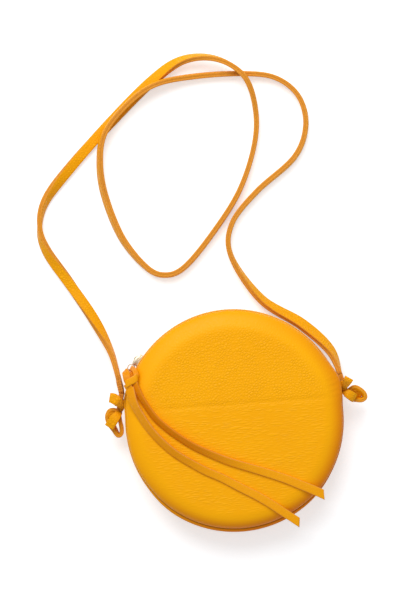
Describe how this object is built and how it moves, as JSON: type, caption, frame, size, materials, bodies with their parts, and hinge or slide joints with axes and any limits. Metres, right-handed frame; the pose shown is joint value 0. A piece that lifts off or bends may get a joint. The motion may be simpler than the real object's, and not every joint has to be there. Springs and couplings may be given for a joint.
{
  "type": "circle bag",
  "caption": "Round padded leather shoulder bag with a curved zip across its top, a lace pull with two tails and a long knotted strap.",
  "frame": {"origin": "middle of the back face, on the surface that the bag lies on", "axes": "+Z out of the front face, +Y towards the zip at the top, +X towards the right-hand strap tab"},
  "size_m": [0.2628, 0.3993, 0.0488],
  "materials": {
    "panel_leather": "pebbled, satin",
    "strap_leather": "pebbled face, raw edges",
    "lace_leather": "smooth face, raw edges",
    "padding": "felted wadding",
    "board": "plain fibre board",
    "lining_cloth": "plain weave",
    "zip_tape": "woven tape",
    "zip_metal": "pale brass",
    "slider_metal": "pale gold plate"
  },
  "bodies": {
    "bag": {"front_panel_lower": "panel_leather", "front_padding_lower": "padding", "front_board_lower": "board", "front_lining_lower": "lining_cloth", "back_panel": "panel_leather", "back_padding": "padding", "back_board": "board", "back_lining": "lining_cloth", "slip_pocket": "lining_cloth", "lower_gusset": "panel_leather", "gusset_lining": "lining_cloth", "back_zip_strip": "panel_leather", "back_strip_lining": "lining_cloth", "back_zip_tape": "zip_tape", "back_zip_teeth": "zip_metal", "back_top_stop": "zip_metal", "bottom_stop": "zip_metal", "left_tab": "strap_leather", "right_tab": "strap_leather", "left_knot": "strap_leather", "right_knot": "strap_leather", "shoulder_strap": "strap_leather"},
    "mouth_flap": {"front_panel_upper": "panel_leather", "front_padding_upper": "padding", "front_board_upper": "board", "front_lining_upper": "lining_cloth", "front_zip_strip": "panel_leather", "front_strip_lining": "lining_cloth", "front_zip_tape": "zip_tape", "front_zip_teeth": "zip_metal", "front_top_stop": "zip_metal"},
    "slider": {"zip_slider": "slider_metal"},
    "pull": {"pull_link": "slider_metal", "lace_hitch": "lace_leather", "upper_tail": "lace_leather", "lower_tail": "lace_leather"}
  },
  "joints": [
    {"name": "mouth_fold", "type": "hinge", "parent": "bag", "child": "mouth_flap", "pos_m": [0, 0.013, 0.044], "axis": [1, 0, 0], "range_deg": [0, 15], "deforming": ["front_zip_tape", "front_zip_teeth", "lace_hitch", "upper_tail", "lower_tail"]},
    {"name": "zip_slide", "type": "hinge", "parent": "bag", "child": "slider", "pos_m": [0, 0, 0.022], "axis": [0, 0, 1], "range_deg": [-106, 0], "deforming": ["front_zip_teeth", "back_zip_teeth"]},
    {"name": "pull_swing", "type": "hinge", "parent": "slider", "child": "pull", "pos_m": [-0.07591, 0.0572, 0.022], "axis": [0, 0, 1], "range_deg": [-100, 0]}
  ]
}
